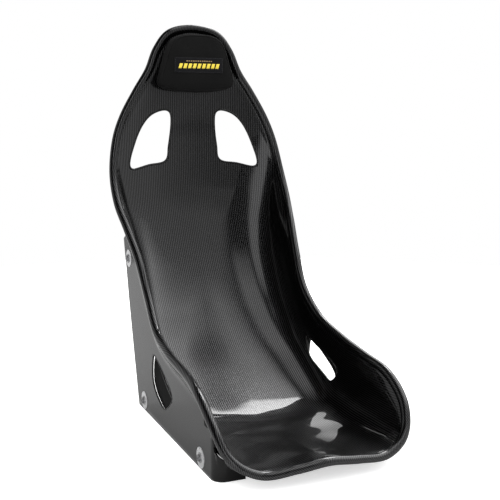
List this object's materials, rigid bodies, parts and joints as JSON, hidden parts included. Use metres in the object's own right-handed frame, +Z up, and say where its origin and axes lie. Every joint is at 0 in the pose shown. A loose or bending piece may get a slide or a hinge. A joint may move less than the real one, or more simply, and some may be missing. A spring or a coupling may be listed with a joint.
{
  "type": "racing bucket seat",
  "caption": "Fixed-back racing bucket seat: one-piece moulded shell with rolled rim, belt slots, side mounting panels with bolts, and a pull-off padded headrest.",
  "frame": {"origin": "on the floor under the middle of the seat's overall box", "axes": "+Z up, the sitter faces -Y, +X to the right as seen from the front"},
  "size_m": [0.4398, 0.7288, 0.859],
  "materials": {
    "shell_laminate": "black carbon laminate under gloss clear coat, fine ribbed weave",
    "panel_laminate": "smooth black laminate under gloss clear coat",
    "insert_metal": "plain machined",
    "washer_rubber": "matt black",
    "washer_steel": "bright zinc-plated",
    "bolt_steel": "bright zinc-plated",
    "hook_tape": "matt black hook tape",
    "loop_tape": "matt black loop tape",
    "backing_board": "matt black sheet",
    "pad_foam": "open-cell foam",
    "pad_suede": "black suede-like cloth",
    "label_cloth": "black woven patch",
    "label_yellow": "yellow woven bars",
    "label_thread": "black thread"
  },
  "bodies": {
    "seat": {"seat_shell": "shell_laminate", "left_side_panel": "panel_laminate", "right_side_panel": "panel_laminate", "left_threaded_inserts": "insert_metal", "right_threaded_inserts": "insert_metal", "left_rubber_washers": "washer_rubber", "right_rubber_washers": "washer_rubber", "left_wide_washers": "washer_steel", "right_wide_washers": "washer_steel", "left_small_washers": "washer_steel", "right_small_washers": "washer_steel", "left_mounting_bolts": "bolt_steel", "right_mounting_bolts": "bolt_steel", "pad_hook_strips": "hook_tape"},
    "head_pad": {"pad_loop_strips": "loop_tape", "pad_backing": "backing_board", "pad_foam": "pad_foam", "pad_cover": "pad_suede", "pad_piping": "pad_suede", "pad_label": "label_cloth", "label_band": "label_yellow", "label_stitching": "label_thread"}
  },
  "joints": [
    {"name": "head_pad_pull_off", "type": "slide", "parent": "seat", "child": "head_pad", "axis": [0, -1, 0], "range_m": [0, 0.06]}
  ]
}
